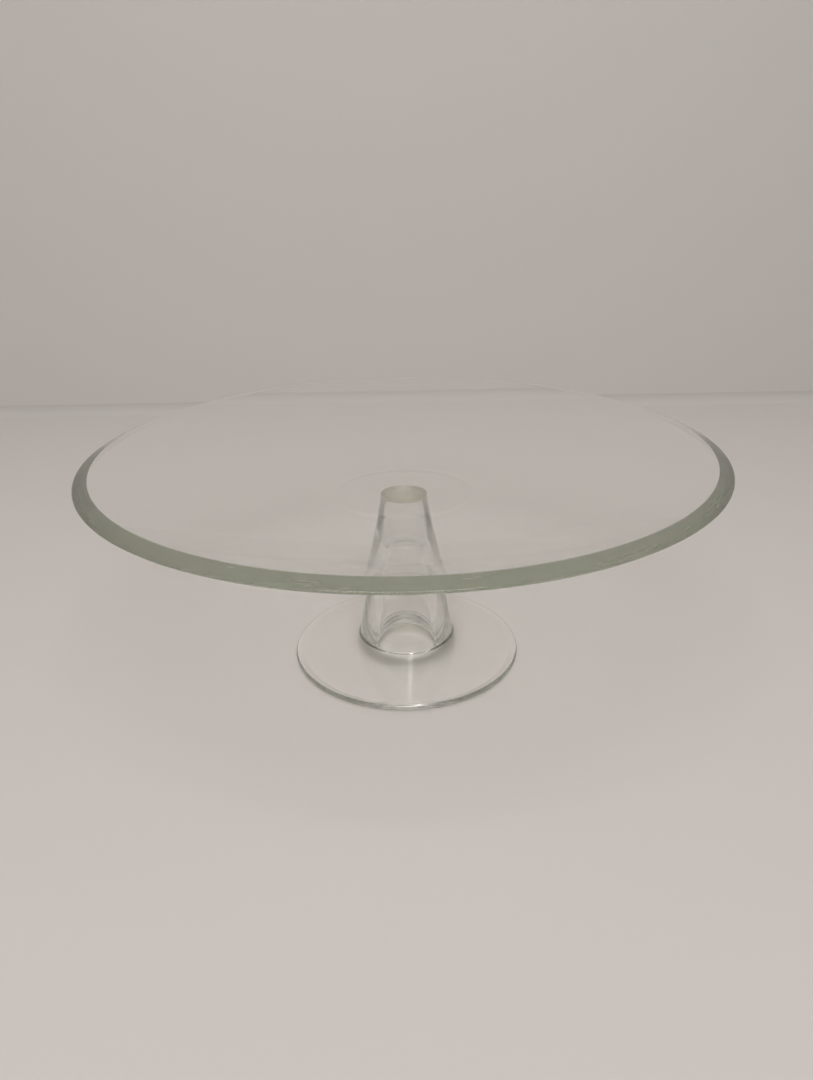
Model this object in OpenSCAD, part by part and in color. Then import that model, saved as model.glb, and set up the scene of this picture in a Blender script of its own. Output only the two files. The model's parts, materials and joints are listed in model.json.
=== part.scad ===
// Footed glass cake stand: a shallow round dish glued to a hollow tapering pedestal.
// Units mm, +Z up. Origin: centre of the circle the foot rests on, at the supporting surface.

/* [Plate] */
// Radius of the plate at its outermost edge
rim_r = 150; // [130:0.5:175]
// Radius of the crest where the dish's upper face meets the bevel
crest_r = 143.6; // [120:0.1:148]
// Rounding of the bevel's two edges
edge_round = 0.7; // [0.3:0.1:1.5]
// Radius of the flat pad at the middle of the dish, on both faces
pad_r = 34.5; // [26:0.5:50]
// Height of the flat upper face of the pad
pad_z = 89.8; // [70:0.1:110]
// Thickness of the glass, the same all over the dish
glass_t = 5.6; // [4:0.1:10]
// Radius of the curve of the dish's upper face
dish_r = 299; // [240:1:400]
// Distance from the axis of the centre of that curve
dish_off = 25; // [0:0.5:26]

/* [Bond] */
// Thickness of the glue between the plate and the stem
bond_t = 0.4; // [0.1:0.1:1]
// Outer radius of the glue, squeezed out over the stem's shoulder
bond_r = 11.5; // [9:0.1:14]
// How far the squeezed-out glue hangs below the stem's top face
bond_bead = 0.6; // [0.2:0.1:0.9]

/* [Stem] */
// Radius of the stem's side extended to its top face
stem_top_r = 11.2; // [9:0.1:16]
// Angle of the stem's side from vertical, widening downward
stem_taper = 10.4; // [5:0.1:16]
// Rounding of the stem's top edge
shoulder_r = 1; // [0.5:0.1:2]
// Radius of the fillet where the stem runs into the foot
root_r = 2; // [1:0.5:10]

/* [Foot] */
// Radius of the foot at its outermost edge
foot_r = 59.2; // [45:0.1:75]
// Radius of the full round at the foot's edge, half its thickness there
foot_edge_r = 1.5; // [1:0.1:4]
// Angle at which the foot's upper face rises toward the stem
foot_rise = 12.8; // [4:0.1:16]
// Inner radius of the flat ring that the foot rests on
seat_r = 54.5; // [40:0.5:58]
// Height of the hollow under the foot at its middle
underside_h = 4.5; // [0.5:0.1:6]

/* [Cavity] */
// Height of the top of the cavity inside the stem
cavity_h = 58; // [35:0.5:70]
// Radius of the dome that closes the cavity
dome_r = 8.6; // [4:0.1:10]
// Angle of the cavity's wall from vertical, widening downward
cavity_taper = 9.3; // [3:0.1:14]
// Rounding of the cavity's mouth
mouth_round = 1.5; // [0.5:0.1:3]

/* [Hidden] */
$fn = 180;

plate_tint = [0.78, 0.86, 0.82, 0.45];
bond_tint = [0.66, 0.66, 0.42, 0.8];
pedestal_tint = [0.82, 0.88, 0.86, 0.5];

// Plate: both faces of the dish are arcs about one centre, and the bevel is tangent to its two rounded edges.
under_z = pad_z - glass_t;
dish_c = [dish_off, pad_z + sqrt(dish_r * dish_r - pow(pad_r - dish_off, 2))];
under_r = dish_r + glass_t;
crest_c = [crest_r, dish_c[1] - sqrt(pow(dish_r + edge_round, 2) - pow(crest_r - dish_off, 2))];
crest_in = crest_c + edge_round * (dish_c - crest_c) / (dish_r + edge_round);
arris_x = rim_r - edge_round;
arris_c = [arris_x, dish_c[1] - sqrt(pow(under_r - edge_round, 2) - pow(arris_x - dish_off, 2))];
arris_foot = arris_c + edge_round * (arris_c - dish_c) / (under_r - edge_round);
bevel_u = (arris_c - crest_c) / norm(arris_c - crest_c);
bevel_n = [-bevel_u[1], bevel_u[0]];

// Stem and foot: each n is the unit normal of a straight stretch of the outline.
stem_h = under_z - bond_t;
stem_n = [cos(stem_taper), sin(stem_taper)];
stem_k = stem_n * [stem_top_r, stem_h];
shoulder_z = stem_h - shoulder_r;
shoulder_c = [(stem_k - shoulder_r - stem_n[1] * shoulder_z) / stem_n[0], shoulder_z];
foot_c = [foot_r - foot_edge_r, foot_edge_r];
foot_n = [sin(foot_rise), cos(foot_rise)];
foot_k = foot_n * foot_c + foot_edge_r;
root_det = foot_n[0] * stem_n[1] - foot_n[1] * stem_n[0];
root_c = [
    ((foot_k + root_r) * stem_n[1] - (stem_k + root_r) * foot_n[1]) / root_det,
    ((stem_k + root_r) * foot_n[0] - (foot_k + root_r) * stem_n[0]) / root_det
];

// Cavity, and the spherical hollow under the foot that its mouth opens into.
dome_cz = cavity_h - dome_r;
wall_n = [cos(cavity_taper), sin(cavity_taper)];
wall_t = [-wall_n[1], wall_n[0]];
wall_k = dome_r + wall_n[1] * dome_cz;
hollow_r = (seat_r * seat_r + underside_h * underside_h) / (2 * underside_h);
hollow_c = [0, underside_h - hollow_r];
mouth_q = (wall_k + mouth_round) * wall_n - hollow_c;
mouth_s = sqrt(pow(mouth_q * wall_t, 2) - mouth_q * mouth_q + pow(hollow_r + mouth_round, 2)) - mouth_q * wall_t;
mouth_c = (wall_k + mouth_round) * wall_n + mouth_s * wall_t;
mouth_r = wall_k / wall_n[0];

module plate_outline() {
    polygon([
        [0, under_z],
        [arris_foot[0], under_z],
        arris_foot,
        arris_c + edge_round * bevel_n,
        crest_c + edge_round * bevel_n,
        crest_in,
        [0, crest_in[1]]
    ]);
    translate(arris_c)
        circle(r = edge_round);
    translate(crest_c)
        circle(r = edge_round);
}

module pad_and_dish(radius) {
    square([pad_r, dish_c[1]]);
    translate(dish_c)
        circle(r = radius);
}

module plate_profile() {
    difference() {
        intersection() {
            plate_outline();
            pad_and_dish(under_r);
        }
        intersection() {
            pad_and_dish(dish_r);
            translate([-1, pad_z])
                square([rim_r, dish_c[1]]);
        }
    }
}

module plate() {
    color(plate_tint)
        rotate_extrude()
            plate_profile();
}

module stem_side() {
    polygon([
        [0, foot_edge_r],
        foot_c,
        foot_c + foot_edge_r * foot_n,
        root_c - root_r * foot_n,
        root_c - root_r * stem_n,
        shoulder_c + shoulder_r * stem_n,
        [shoulder_c[0], stem_h],
        [0, stem_h]
    ]);
    translate(shoulder_c)
        circle(r = shoulder_r);
}

module cavity_profile() {
    polygon([
        [0, -1],
        [mouth_r + 1, -1],
        [mouth_c[0], mouth_c[1] - mouth_round],
        mouth_c - mouth_round * wall_n,
        [dome_r * wall_n[0], dome_cz + dome_r * wall_n[1]],
        [0, dome_cz]
    ]);
    intersection() {
        translate([0, dome_cz])
            circle(r = dome_r);
        square([dome_r, cavity_h + 1]);
    }
}

module pedestal_profile() {
    difference() {
        union() {
            stem_side();
            translate(foot_c)
                circle(r = foot_edge_r);
            square([foot_c[0], foot_edge_r]);
        }
        translate(root_c)
            circle(r = root_r);
        difference() {
            cavity_profile();
            translate(mouth_c)
                circle(r = mouth_round);
        }
        intersection() {
            translate(hollow_c)
                circle(r = hollow_r, $fn = 720);
            translate([0, -1])
                square([seat_r + 1, underside_h + 1]);
        }
    }
}

module pedestal() {
    color(pedestal_tint)
        rotate_extrude()
            pedestal_profile();
}

module adhesive_bond() {
    color(bond_tint)
        rotate_extrude()
            difference() {
                translate([0, stem_h - bond_bead])
                    square([bond_r, bond_bead + bond_t]);
                stem_side();
            }
}

plate();
adhesive_bond();
pedestal();
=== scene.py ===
import json
import math

import bpy
import numpy as np
from mathutils import Matrix, Vector


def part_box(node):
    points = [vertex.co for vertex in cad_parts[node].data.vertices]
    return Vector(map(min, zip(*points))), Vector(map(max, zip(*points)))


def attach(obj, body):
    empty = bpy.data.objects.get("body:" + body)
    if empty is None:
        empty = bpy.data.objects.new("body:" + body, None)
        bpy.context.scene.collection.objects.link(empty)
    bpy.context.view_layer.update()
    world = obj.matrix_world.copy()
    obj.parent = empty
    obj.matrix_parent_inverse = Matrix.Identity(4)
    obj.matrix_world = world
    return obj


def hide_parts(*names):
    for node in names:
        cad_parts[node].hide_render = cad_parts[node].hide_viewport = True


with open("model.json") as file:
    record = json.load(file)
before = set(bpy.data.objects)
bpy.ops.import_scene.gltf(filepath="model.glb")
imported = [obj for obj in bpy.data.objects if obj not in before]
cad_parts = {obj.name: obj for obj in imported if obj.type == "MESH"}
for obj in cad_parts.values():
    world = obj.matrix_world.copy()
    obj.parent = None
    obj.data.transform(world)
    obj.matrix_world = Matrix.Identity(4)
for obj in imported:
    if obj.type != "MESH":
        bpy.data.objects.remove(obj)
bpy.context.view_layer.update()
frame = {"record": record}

# ---------------------------------------------------------------- sizes, in metres
SEGMENTS = 288
ON_AXIS = 1e-7  # a point nearer the axis than this is on it

plate_lo, plate_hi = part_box("plate")
foot_lo, foot_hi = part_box("pedestal")
bond_lo, bond_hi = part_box("adhesive_bond")
mounts = {m["name"]: m for m in frame["record"]["mounts"]}

RIM_R = min(plate_hi.x - plate_lo.x, plate_hi.y - plate_lo.y) / 2
BEVEL_WIDTH = 0.0064
CREST_R = RIM_R - BEVEL_WIDTH
EDGE_ROUND = 0.0007
PAD_R = 0.0345
PAD_Z = mounts["cake_seat"]["pos_m"][2]
UNDER_Z = plate_lo.z
GLASS_T = PAD_Z - UNDER_Z
DISH_R = 0.299
DISH_OFF = 0.025

STEM_H = foot_hi.z
STEM_TOP_R = 0.0112
STEM_TAPER = math.radians(10.4)
SHOULDER_R = 0.001
ROOT_R = 0.002

FOOT_R = min(foot_hi.x - foot_lo.x, foot_hi.y - foot_lo.y) / 2
FOOT_EDGE_R = 0.0015
FOOT_RISE = math.radians(12.8)
SEAT_R = 0.0545
UNDERSIDE_H = 0.0045

CAVITY_H = 0.058
DOME_R = 0.0086
CAVITY_TAPER = math.radians(9.3)
MOUTH_ROUND = 0.0015

# The glue stays this far clear of both glass faces, because faces that coincide render badly.
BOND_GAP = 0.00002

# The glue's bead: its lower face is a hair above the CAD's, and it is widest a little under the plate.
BEAD_LIFT = 0.00003
BEAD_DRAW_IN = 0.0001
BEAD_WIDEST_UNDER = 0.00015

# The wall stands as near as cameras behind the object allow. The floor lies a hair under the foot.
WALL_Y = 0.505
WALL_TOP = 1.6
COVE_R = 0.012
COVE_POINTS = 25
FLOOR_HALF = 2.5
FLOOR_DROP = 0.00015

# ---------------------------------------------------------------- finishes
# A height is in metres, and a noise's scale is roughly how many lumps it has per metre. The streaks' noise
# runs instead over the turn, as a unit vector, and the radius times STREAK_FINENESS, so it is long round the
# axis and fine across it.
GLASS_IOR = 1.52
PLATE_TINT = (0.42, 0.49, 0.34, 1)
PLATE_DENSITY = 3.7
SLUMP_SCALE = 45.0
SLUMP_HEIGHT = 0.00003

BEVEL_ROUGHNESS = 0.19
BEVEL_UNEVENNESS = 0.12
BEVEL_GRAIN = 0.1
STREAK_FINENESS = 700.0
STREAK_SCALE = 3.0
STREAK_DETAIL = 2.0

PEDESTAL_TINT = (0.40, 0.45, 0.34, 1)
PEDESTAL_DENSITY = 5.4
PEDESTAL_ROUGHNESS = 0.07
MOULD_SCALE = 60.0
MOULD_HEIGHT = 0.000015

GLUE_IOR = 1.5
GLUE_MIDDLE = (0.99, 0.97, 0.92, 1)
# The edge colour is partly the resin's olive tint and partly painted shade at the joint's edge.
EDGE_TINT_AND_SHADE = (0.74, 0.72, 0.58, 1)
UNTINTED_SPOT = (0.98, 0.98, 0.96, 1)
GLUE_ROUGHNESS = 0.04
GLUE_UNEVENNESS = 0.16
MOTTLE_SCALE = 180.0
MOTTLE_DETAIL = 2.0

# The glue is untinted and smooth inside a ragged ball centred behind the joint, and its tint fades in round
# the ball.
SPOT_Y = 0.0160
SPOT_R = 0.0078
SPOT_FADE = 0.0012
SPOT_RAGGED = 0.0015

# The glue's olive edge tint and a painted shade darken it from this far inside its outline, and would be
# darkest this far outside it.
# Ripples move the dark ring in by up to GLUE_RIPPLE.
TINT_AND_SHADE_IN = 0.0045
TINT_AND_SHADE_OUT = 0.001
GLUE_RIPPLE = 0.0035
RIPPLE_LOW = 0.35
RIPPLE_HIGH = 0.65

FLOOR_COLOUR = (0.74, 0.71, 0.69, 1)
WALL_COLOUR = (0.82, 0.795, 0.77, 1)
MATT_ROUGHNESS = 0.9
MATT_SPECULAR = 0.2

# ---------------------------------------------------------------- light and camera
KEY_PLACE = (-0.03, -0.75, 1.25)
KEY_SIDE = 1.0
KEY_WATTS = 10
KEY_COLOUR = (1.0, 0.97, 0.93)

LAMP_PLACE = (0.14, -0.22, 1.4)
LAMP_SIDE = 0.07
LAMP_WATTS = 12
LAMP_COLOUR = (1.0, 0.98, 0.95)

# The sky's strength rises between these heights on the unit sphere, which lean toward the back.
SKY_COLOUR = (0.92, 0.89, 0.86, 1)
SKY_LEAN = 0.7
SKY_LOW = -0.3
SKY_HIGH = 0.5
SKY_DIM = 0.03
SKY_BRIGHT = 0.49

GLASS_BOUNCES = 160
DIFFUSE_BOUNCES = 4

CAMERA_PLACE = RIM_R * Vector((0.0012, -2.4225, 1.4996))
CAMERA_PITCH = math.radians(24.087)
CAMERA_YAW = math.radians(0.122)
CAMERA_ROLL = math.radians(-1.05)
SENSOR_MM = 36.0
LENS_MM = 26.0
NEAR_CLIP = 0.01


# ---------------------------------------------------------------- lathe work
def direction(angle):
    return np.array([math.cos(angle), math.sin(angle)])


def angle_of(v):
    return math.atan2(v[1], v[0])


def arc(centre, radius, start, end, count):
    """Points along an arc about centre, from the direction of start to that of end."""
    a, b = angle_of(np.subtract(start, centre)), angle_of(np.subtract(end, centre))
    return [np.add(centre, radius * direction(a + (b - a) * i / count)) for i in range(count + 1)]


class Outline:
    """A closed half-section, walked from the axis round to the axis, with each ground stretch marked."""

    def __init__(self, first):
        self.points, self.sharp, self.ground = [np.array(first)], [True], []

    def line(self, end, sharp=True, count=1, ground=0.0):
        """Goes straight to end in count steps."""
        start = self.points[-1]
        for i in range(1, count + 1):
            self.points.append(start + (np.array(end) - start) * i / count)
            self.sharp.append(sharp and i == count)
            self.ground.append(ground)
        return self

    def curve(self, points, sharp=False):
        """Follows points, the first of which is where the walk already stands."""
        for point in points[1:]:
            self.points.append(np.array(point))
            self.sharp.append(False)
            self.ground.append(0.0)
        self.sharp[-1] = sharp
        return self


def lathe(name, outline, material):
    """Turns an outline about Z. A point on the axis is one vertex, and a face keeps its stretch's mark."""
    turn = [2 * math.pi * k / SEGMENTS for k in range(SEGMENTS)]
    verts, rings = [], []
    for r, z in outline.points:
        if r < ON_AXIS:
            rings.append([len(verts)] * SEGMENTS)
            verts.append((0, 0, z))
        else:
            rings.append(list(range(len(verts), len(verts) + SEGMENTS)))
            verts += [(r * math.cos(a), r * math.sin(a), z) for a in turn]
    faces, ground = [], []
    for i, mark in enumerate(outline.ground):
        low, high = rings[i], rings[i + 1]
        for k in range(SEGMENTS):
            n = (k + 1) % SEGMENTS
            faces.append(list(dict.fromkeys([low[k], low[n], high[n], high[k]])))
            ground.append(mark)
    mesh = bpy.data.meshes.new(name)
    mesh.from_pydata(verts, [], faces)
    mesh.materials.append(material)
    mesh.attributes.new("ground", "FLOAT", "FACE").data.foreach_set("value", ground)
    mesh.polygons.foreach_set("use_smooth", [True] * len(faces))
    ring_of = {}
    for i, ring in enumerate(rings):
        if outline.sharp[i]:
            ring_of.update((v, i) for v in ring)
    sharp = [ring_of.get(e.vertices[0], -1) == ring_of.get(e.vertices[1], -2) for e in mesh.edges]
    mesh.attributes.new("sharp_edge", "BOOLEAN", "EDGE").data.foreach_set("value", sharp)
    mesh.update()
    obj = bpy.data.objects.new(name, mesh)
    bpy.context.scene.collection.objects.link(obj)
    return obj


# ---------------------------------------------------------------- half-sections
def plate_outline():
    """Both faces of the dish are arcs about one centre. The bevel is tangent to its two rounded edges."""
    dish = np.array([DISH_OFF, PAD_Z + math.sqrt(DISH_R**2 - (PAD_R - DISH_OFF) ** 2)])
    under = DISH_R + GLASS_T

    def on_dish(x, radius):
        return np.array([x, dish[1] - math.sqrt(radius**2 - (x - DISH_OFF) ** 2)])

    crest = on_dish(CREST_R, DISH_R + EDGE_ROUND)
    arris = on_dish(RIM_R - EDGE_ROUND, under - EDGE_ROUND)
    crest_in = crest + EDGE_ROUND * (dish - crest) / (DISH_R + EDGE_ROUND)
    arris_foot = arris + EDGE_ROUND * (arris - dish) / (under - EDGE_ROUND)
    bevel = (arris - crest) / np.linalg.norm(arris - crest)
    out = EDGE_ROUND * np.array([-bevel[1], bevel[0]])
    crease = np.array([DISH_OFF + math.sqrt(under**2 - (dish[1] - UNDER_Z) ** 2), UNDER_Z])
    return (
        Outline((0, UNDER_Z))
        .line(crease, count=6)
        .curve(arc(dish, under, crease, arris_foot, 60))
        .curve(arc(arris, EDGE_ROUND, arris_foot, arris + out, 12))
        .line(crest + out, sharp=False, count=6, ground=1.0)
        .curve(arc(crest, EDGE_ROUND, crest + out, crest_in, 8))
        .curve(arc(dish, DISH_R, crest_in, (PAD_R, PAD_Z), 60), sharp=True)
        .line((0, PAD_Z), count=6)
    )


def shoulder():
    """Centre of the stem's rounded top edge, its side's unit normal, and the side's distance along that."""
    normal = direction(STEM_TAPER)
    out = normal @ [STEM_TOP_R, STEM_H]
    z = STEM_H - SHOULDER_R
    return np.array([(out - SHOULDER_R - normal[1] * z) / normal[0], z]), normal, out


def pedestal_outline():
    """From the top of the cavity down its wall, under the foot, round its edge and up the stem."""
    top, stem_normal, stem_out = shoulder()
    foot = np.array([FOOT_R - FOOT_EDGE_R, FOOT_EDGE_R])
    foot_normal = np.array([math.sin(FOOT_RISE), math.cos(FOOT_RISE)])
    foot_out = foot_normal @ foot + FOOT_EDGE_R
    root = np.linalg.solve([foot_normal, stem_normal], [foot_out + ROOT_R, stem_out + ROOT_R])
    root_foot = root - ROOT_R * foot_normal
    dome = np.array([0.0, CAVITY_H - DOME_R])
    wall_normal = direction(CAVITY_TAPER)
    wall_up = np.array([-wall_normal[1], wall_normal[0]])
    wall_out = DOME_R + wall_normal[1] * dome[1]
    hollow_r = (SEAT_R**2 + UNDERSIDE_H**2) / (2 * UNDERSIDE_H)
    hollow = np.array([0.0, UNDERSIDE_H - hollow_r])
    aside = (wall_out + MOUTH_ROUND) * wall_normal - hollow
    level = aside @ wall_up
    climb = math.sqrt(level**2 - aside @ aside + (hollow_r + MOUTH_ROUND) ** 2) - level
    mouth = (wall_out + MOUTH_ROUND) * wall_normal + climb * wall_up
    mouth_top = mouth - MOUTH_ROUND * wall_normal
    mouth_foot = mouth - MOUTH_ROUND * (mouth - hollow) / np.linalg.norm(mouth - hollow)
    dome_edge = dome + DOME_R * wall_normal
    return (
        Outline(dome + [0, DOME_R])
        .curve(arc(dome, DOME_R, dome + [0, DOME_R], dome_edge, 24))
        .line(mouth_top, sharp=False, count=24)
        .curve(arc(mouth, MOUTH_ROUND, mouth_top, mouth_foot, 10))
        .curve(arc(hollow, hollow_r, mouth_foot, (SEAT_R, 0), 24), sharp=True)
        .line((foot[0], 0), sharp=False, count=2)
        .curve(arc(foot, FOOT_EDGE_R, (foot[0], 0), foot + FOOT_EDGE_R * foot_normal, 24))
        .line(root_foot, sharp=False, count=10)
        .curve(arc(root, ROOT_R, root_foot, root - ROOT_R * stem_normal, 15))
        .line(top + SHOULDER_R * stem_normal, sharp=False, count=30)
        .curve(arc(top, SHOULDER_R, top + SHOULDER_R * stem_normal, top + [0, SHOULDER_R], 10))
        .line((0, STEM_H), count=4)
    )


def bond_outline():
    """Glue disc between the glass faces, with its squeezed-out rim over the stem's shoulder."""
    top, _, _ = shoulder()
    outer = min(bond_hi.x - bond_lo.x, bond_hi.y - bond_lo.y) / 2
    reach = SHOULDER_R + BOND_GAP
    bead_z = bond_lo.z + BEAD_LIFT
    ledge = top + reach * direction(math.asin((bead_z - top[1]) / reach))
    return (
        Outline((0, STEM_H + BOND_GAP))
        .line((top[0], STEM_H + BOND_GAP), sharp=False, count=4)
        .curve(arc(top, reach, top + [0, reach], ledge, 8), sharp=True)
        .line((outer - BEAD_DRAW_IN, bead_z), sharp=False)
        .line((outer, UNDER_Z - BEAD_WIDEST_UNDER), sharp=False)
        .line((outer - BEAD_DRAW_IN, UNDER_Z - BOND_GAP), sharp=False)
        .line((0, UNDER_Z - BOND_GAP), count=4)
    )


# ---------------------------------------------------------------- materials
def new_material(name):
    material = bpy.data.materials.new(name)
    material.use_nodes = True
    tree = material.node_tree
    return material, tree, tree.nodes["Principled BSDF"], tree.nodes["Material Output"]


def node(tree, kind, links=(), **inputs):
    """Adds a node with its settings and inputs (by name, or as in_1), and joins outputs to its inputs."""
    made = tree.nodes.new("ShaderNode" + kind)
    for key, value in inputs.items():
        if key.startswith("in_"):
            made.inputs[int(key[3:])].default_value = value
        elif key in made.inputs:
            made.inputs[key].default_value = value
        else:
            setattr(made, key, value)
    for output, slot in links:
        tree.links.new(output, made.inputs[slot])
    return made


def object_point(tree):
    return node(tree, "TexCoord").outputs["Object"]


def noise(tree, vector, scale, detail=1.0):
    return node(tree, "TexNoise", [(vector, "Vector")], Scale=scale, Detail=detail).outputs["Fac"]


def bump(tree, height, distance):
    return node(tree, "Bump", [(height, "Height")], Strength=1.0, Distance=distance).outputs["Normal"]


def arithmetic(tree, operation, *values):
    """One arithmetic step on its values, each an output or a number."""
    made = node(tree, "Math", operation=operation)
    for slot, value in enumerate(values):
        if isinstance(value, (int, float)):
            made.inputs[slot].default_value = value
        else:
            tree.links.new(value, made.inputs[slot])
    return made.outputs["Value"]


def blend(tree, value, low, high, at_low=0.0, at_high=1.0):
    """at_low below low, at_high above high, smooth between."""
    made = node(tree, "MapRange", [(value, "Value")], interpolation_type="SMOOTHSTEP")
    for name, number in (("From Min", low), ("From Max", high), ("To Min", at_low), ("To Max", at_high)):
        made.inputs[name].default_value = number
    return made.outputs["Result"]


def mixed(tree, share, *colours):
    """Two colours, each an output or four numbers, mixed by a share."""
    made = node(tree, "Mix", [(share, 0)], data_type="RGBA")
    for slot, colour in zip((6, 7), colours):
        if isinstance(colour, tuple):
            made.inputs[slot].default_value = colour
        else:
            tree.links.new(colour, made.inputs[slot])
    return made.outputs[2]


def across(tree, point):
    """The part of a point that lies across the axis."""
    return node(tree, "VectorMath", [(point, 0)], operation="MULTIPLY", in_1=(1, 1, 0)).outputs["Vector"]


def length(tree, vector):
    return node(tree, "VectorMath", [(vector, 0)], operation="LENGTH").outputs["Value"]


def turning_streaks(tree, point):
    """Fine streaks that run round the axis, as a polishing wheel leaves them."""
    flat = across(tree, point)
    around = node(tree, "VectorMath", [(flat, 0)], operation="NORMALIZE").outputs["Vector"]
    split = node(tree, "SeparateXYZ", [(around, "Vector")])
    rings = arithmetic(tree, "MULTIPLY", length(tree, flat), STREAK_FINENESS)
    spun = node(tree, "CombineXYZ", [(split.outputs["X"], "X"), (split.outputs["Y"], "Y"), (rings, "Z")])
    return noise(tree, spun.outputs["Vector"], STREAK_SCALE, STREAK_DETAIL)


def glass(name, tint, density):
    """Clear glass that takes its tint from the light's way through it."""
    material, tree, shader, out = new_material(name)
    shader.inputs["Base Color"].default_value = (1, 1, 1, 1)
    shader.inputs["Roughness"].default_value = 0.0
    shader.inputs["IOR"].default_value = GLASS_IOR
    shader.inputs["Transmission Weight"].default_value = 1.0
    absorb = node(tree, "VolumeAbsorption", Color=tint, Density=density)
    tree.links.new(absorb.outputs["Volume"], out.inputs["Volume"])
    return material, tree, shader


def plate_glass():
    """Clear sheet glass, gently uneven from slumping. Its bevel is ground and polished to a slight haze."""
    material, tree, shader = glass("plate_glass", PLATE_TINT, PLATE_DENSITY)
    point = object_point(tree)
    ground = node(tree, "Attribute", attribute_name="ground").outputs["Fac"]
    streaks = turning_streaks(tree, point)
    haze = arithmetic(tree, "MULTIPLY_ADD", streaks, BEVEL_UNEVENNESS, BEVEL_ROUGHNESS)
    tree.links.new(arithmetic(tree, "MULTIPLY", haze, ground), shader.inputs["Roughness"])
    grain = arithmetic(tree, "MULTIPLY", arithmetic(tree, "MULTIPLY", streaks, ground), BEVEL_GRAIN)
    swell = arithmetic(tree, "ADD", noise(tree, point, SLUMP_SCALE), grain)
    tree.links.new(bump(tree, swell, SLUMP_HEIGHT), shader.inputs["Normal"])
    return material


def pedestal_glass():
    """Pressed glass, whose faces keep a slight softness and ripple from the mould."""
    material, tree, shader = glass("pedestal_glass", PEDESTAL_TINT, PEDESTAL_DENSITY)
    shader.inputs["Roughness"].default_value = PEDESTAL_ROUGHNESS
    ripple = noise(tree, object_point(tree), MOULD_SCALE)
    tree.links.new(bump(tree, ripple, MOULD_HEIGHT), shader.inputs["Normal"])
    return material


def cured_glue():
    """A clear resin gone slightly olive, uneven, darker at its edge by its own tint and by painted shade,
    and untinted in one spot at the back.
    """
    material, tree, shader, _ = new_material("cured_glue")
    shader.inputs["IOR"].default_value = GLUE_IOR
    shader.inputs["Transmission Weight"].default_value = 1.0
    point = object_point(tree)
    mottle = noise(tree, point, MOTTLE_SCALE, MOTTLE_DETAIL)
    offset = node(tree, "VectorMath", [(point, 0)], operation="SUBTRACT", in_1=(0, SPOT_Y, bond_hi.z))
    away = length(tree, offset.outputs["Vector"])
    ragged = arithmetic(tree, "MULTIPLY_ADD", mottle, SPOT_RAGGED, away)
    outside_spot = blend(tree, ragged, SPOT_R, SPOT_R + SPOT_FADE)
    ripples = blend(tree, turning_streaks(tree, point), RIPPLE_LOW, RIPPLE_HIGH)
    rippled = arithmetic(tree, "MULTIPLY_ADD", ripples, GLUE_RIPPLE, length(tree, across(tree, point)))
    # The dark edge ring is partly the resin's own olive tint and partly painted shade where the joint's edge
    # would darken.
    ring = blend(tree, rippled, bond_hi.x - TINT_AND_SHADE_IN, bond_hi.x + TINT_AND_SHADE_OUT)
    resin = mixed(tree, ring, GLUE_MIDDLE, EDGE_TINT_AND_SHADE)
    tree.links.new(mixed(tree, outside_spot, UNTINTED_SPOT, resin), shader.inputs["Base Color"])
    haze = arithmetic(tree, "MULTIPLY_ADD", mottle, GLUE_UNEVENNESS, GLUE_ROUGHNESS)
    tree.links.new(arithmetic(tree, "MULTIPLY", haze, outside_spot), shader.inputs["Roughness"])
    return material


def matt(name, colour):
    material, _, shader, _ = new_material(name)
    shader.inputs["Base Color"].default_value = colour
    shader.inputs["Roughness"].default_value = MATT_ROUGHNESS
    shader.inputs["Specular IOR Level"].default_value = MATT_SPECULAR
    return material


# ---------------------------------------------------------------- pieces
turned = {}
for part, outline, material, slot in (
    ("plate", plate_outline(), plate_glass(), "plate_glass"),
    ("pedestal", pedestal_outline(), pedestal_glass(), "pedestal_glass"),
    ("adhesive_bond", bond_outline(), cured_glue(), "cured_glue"),
):
    piece = lathe(part + "_turned", outline, material)
    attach(piece, "root")
    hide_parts(part)
    turned[part] = piece


# ---------------------------------------------------------------- stage, light and camera
def floor_and_wall():
    """One sheet: a wide floor that turns up through a cove into the wall behind."""
    cove_y = WALL_Y - COVE_R
    bends = np.linspace(0, math.pi / 2, COVE_POINTS)
    cove = [(cove_y + COVE_R * math.sin(a), COVE_R - COVE_R * math.cos(a)) for a in bends]
    section = [(-FLOOR_HALF, 0.0), *cove, (WALL_Y, WALL_TOP)]
    verts = [(x, y, z) for y, z in section for x in (-FLOOR_HALF, FLOOR_HALF)]
    faces = [(2 * i, 2 * i + 1, 2 * i + 3, 2 * i + 2) for i in range(len(section) - 1)]
    mesh = bpy.data.meshes.new("floor")
    mesh.from_pydata(verts, [], faces)
    mesh.polygons.foreach_set("use_smooth", [True] * len(faces))
    mesh.materials.append(matt("pale_floor", FLOOR_COLOUR))
    mesh.materials.append(matt("pale_wall", WALL_COLOUR))
    mesh.polygons[len(faces) - 1].material_index = 1
    obj = bpy.data.objects.new("floor", mesh)
    obj.location.z = -FLOOR_DROP
    bpy.context.scene.collection.objects.link(obj)
    return obj


def soft_box(name, place, side, watts, colour):
    """A square area lamp that faces the origin."""
    data = bpy.data.lights.new(name, "AREA")
    data.shape = "SQUARE"
    data.size = side
    data.energy = watts
    data.color = colour
    obj = bpy.data.objects.new(name, data)
    obj.location = place
    obj.rotation_euler = (-Vector(place)).to_track_quat("-Z", "Y").to_euler()
    bpy.context.scene.collection.objects.link(obj)
    return obj


def light_only(lamp, receiver, passed):
    """Makes a lamp light one object alone, by gloss and refraction, and lets it pass another.

    The renderer's direct light doesn't get through glass, so the dish would keep the lamp off the pedestal.
    """
    lamp.visible_diffuse = False
    linking = lamp.light_linking
    linking.receiver_collection = bpy.data.collections.new(lamp.name + "_receivers")
    linking.receiver_collection.objects.link(receiver)
    linking.blocker_collection = bpy.data.collections.new(lamp.name + "_blockers")
    linking.blocker_collection.objects.link(passed)
    linking.blocker_collection.collection_objects[0].light_linking.link_state = "EXCLUDE"


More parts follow.
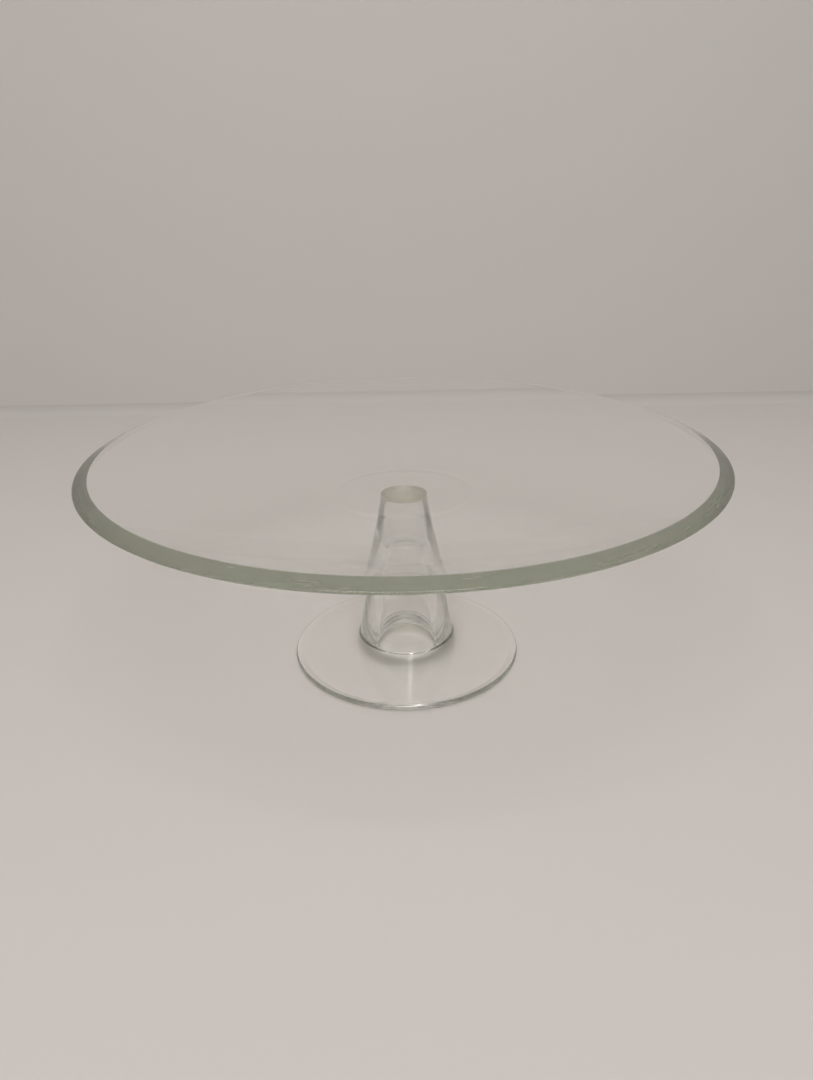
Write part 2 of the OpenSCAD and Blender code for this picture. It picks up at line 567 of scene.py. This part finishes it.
def soft_sky():
    """A world that brightens upward and toward the back."""
    world = bpy.data.worlds.new("studio")
    bpy.context.scene.world = world
    world.use_nodes = True
    tree = world.node_tree
    sky = tree.nodes["Background"]
    sky.inputs["Color"].default_value = SKY_COLOUR
    split = node(tree, "SeparateXYZ", [(node(tree, "TexCoord").outputs["Generated"], "Vector")])
    rise = arithmetic(tree, "MULTIPLY_ADD", split.outputs["Y"], SKY_LEAN, split.outputs["Z"])
    tree.links.new(blend(tree, rise, SKY_LOW, SKY_HIGH, SKY_DIM, SKY_BRIGHT), sky.inputs["Strength"])


def deep_paths():
    """Light runs a long way inside the dish by one reflection after another, so paths need many bounces."""
    cycles = bpy.context.scene.cycles
    cycles.max_bounces = GLASS_BOUNCES
    cycles.transmission_bounces = GLASS_BOUNCES
    cycles.glossy_bounces = GLASS_BOUNCES
    cycles.diffuse_bounces = DIFFUSE_BOUNCES
    cycles.volume_bounces = 0
    cycles.blur_glossy = 0.0
    cycles.transparent_max_bounces = 16


def front_camera():
    """Looks along +Y but for its yaw, down by its pitch, and turned on its own axis by its roll."""
    data = bpy.data.cameras.new("camera")
    data.sensor_width = SENSOR_MM
    data.lens = LENS_MM
    data.clip_start = NEAR_CLIP
    camera = bpy.data.objects.new("camera", data)
    bpy.context.scene.collection.objects.link(camera)
    ahead = math.cos(CAMERA_PITCH)
    look = Vector((math.sin(CAMERA_YAW) * ahead, math.cos(CAMERA_YAW) * ahead, -math.sin(CAMERA_PITCH)))
    aim = look.to_track_quat("-Z", "Y").to_matrix().to_4x4()
    camera.matrix_world = Matrix.Translation(CAMERA_PLACE) @ aim @ Matrix.Rotation(CAMERA_ROLL, 4, "Z")
    return camera


floor_and_wall()
soft_box("key", KEY_PLACE, KEY_SIDE, KEY_WATTS, KEY_COLOUR)
ceiling_lamp = soft_box("ceiling_lamp", LAMP_PLACE, LAMP_SIDE, LAMP_WATTS, LAMP_COLOUR)
light_only(ceiling_lamp, turned["pedestal"], turned["plate"])
soft_sky()
deep_paths()
bpy.context.scene.view_settings.view_transform = "Standard"
bpy.context.scene.camera = front_camera()
